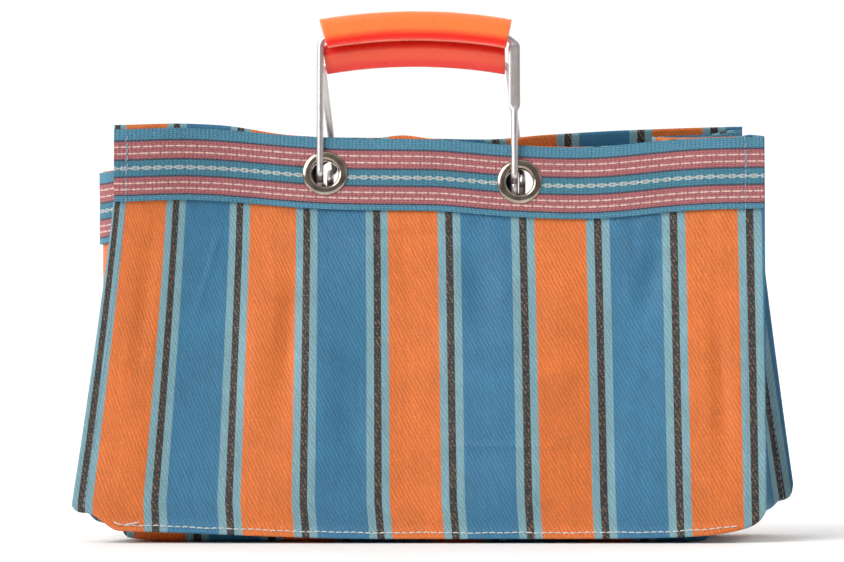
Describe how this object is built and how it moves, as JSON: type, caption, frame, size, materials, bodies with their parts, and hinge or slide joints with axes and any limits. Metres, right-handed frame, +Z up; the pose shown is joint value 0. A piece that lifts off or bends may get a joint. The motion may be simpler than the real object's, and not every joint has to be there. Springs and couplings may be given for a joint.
{
  "type": "market bag with wire handles",
  "caption": "Striped woven plastic carrier bag on its base, with webbing round the mouth, eyelets and two swinging wire handles with moulded grips.",
  "frame": {"origin": "on the surface that the bag stands on, under the middle of its bounding box", "axes": "+X to the bag's right seen from the front, +Y to its back, +Z up"},
  "size_m": [0.5096, 0.134, 0.3717],
  "materials": {
    "woven_cloth": "woven plastic strip with a soft sheen",
    "webbing": "woven tape, matt",
    "nickel": "bright nickel plate",
    "handle_wire": "plated wire, satin",
    "grip_plastic": "glossy moulded vinyl",
    "thread": "sewing thread"
  },
  "bodies": {
    "bag": {"front_panel": "woven_cloth", "back_panel": "woven_cloth", "left_gusset": "woven_cloth", "right_gusset": "woven_cloth", "base_panel": "woven_cloth", "front_webbing": "webbing", "back_webbing": "webbing", "left_webbing": "webbing", "right_webbing": "webbing", "front_left_eyelet": "nickel", "front_right_eyelet": "nickel", "back_left_eyelet": "nickel", "back_right_eyelet": "nickel", "front_left_washer": "nickel", "front_right_washer": "nickel", "back_left_washer": "nickel", "back_right_washer": "nickel", "front_left_seam_thread": "thread", "front_right_seam_thread": "thread", "front_hem_thread": "thread", "back_left_seam_thread": "thread", "back_right_seam_thread": "thread", "back_hem_thread": "thread"},
    "front_bail": {"front_bail_wire": "handle_wire", "front_grip": "grip_plastic"},
    "rear_bail": {"rear_bail_wire": "handle_wire", "rear_grip": "grip_plastic"}
  },
  "joints": [
    {"name": "front_bail_swing", "type": "hinge", "parent": "bag", "child": "front_bail", "pos_m": [-0.01085, -0.01833, 0.25393], "axis": [0.999, -0.0095, -0.0429], "range_deg": [0, 90]},
    {"name": "rear_bail_swing", "type": "hinge", "parent": "bag", "child": "rear_bail", "pos_m": [-0.005, 0.01833, 0.25393], "axis": [-0.999, -0.0095, 0.0429], "range_deg": [0, 90]}
  ]
}
